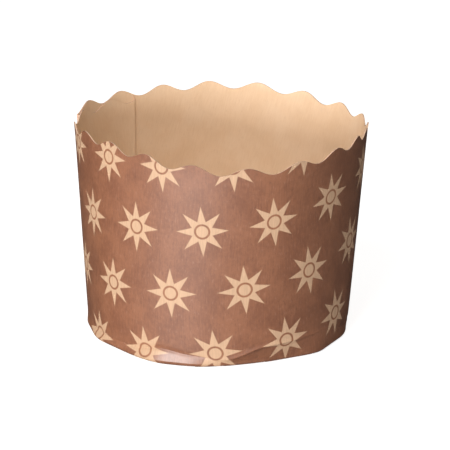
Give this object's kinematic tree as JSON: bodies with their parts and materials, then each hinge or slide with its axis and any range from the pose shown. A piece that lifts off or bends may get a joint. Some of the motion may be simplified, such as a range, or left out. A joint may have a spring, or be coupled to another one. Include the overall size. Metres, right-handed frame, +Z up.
{
  "type": "paper baking cup",
  "caption": "Free-standing paper baking cup with a wavy rim, printed on the outside, with its margin folded in under a glued base disc.",
  "frame": {"origin": "on the table, under the middle of the cup's overall box", "axes": "+Z up, out of the mouth; +Y to the back, away from the picture's viewer; +X to the viewer's right. The lap seam lies at the back left."},
  "size_m": [0.0692, 0.071, 0.0511],
  "materials": {
    "printed_paper": "satin",
    "plain_paper": "matt"
  },
  "bodies": {
    "root": {"side_wall": "printed_paper", "base_disc": "plain_paper"}
  },
  "joints": []
}
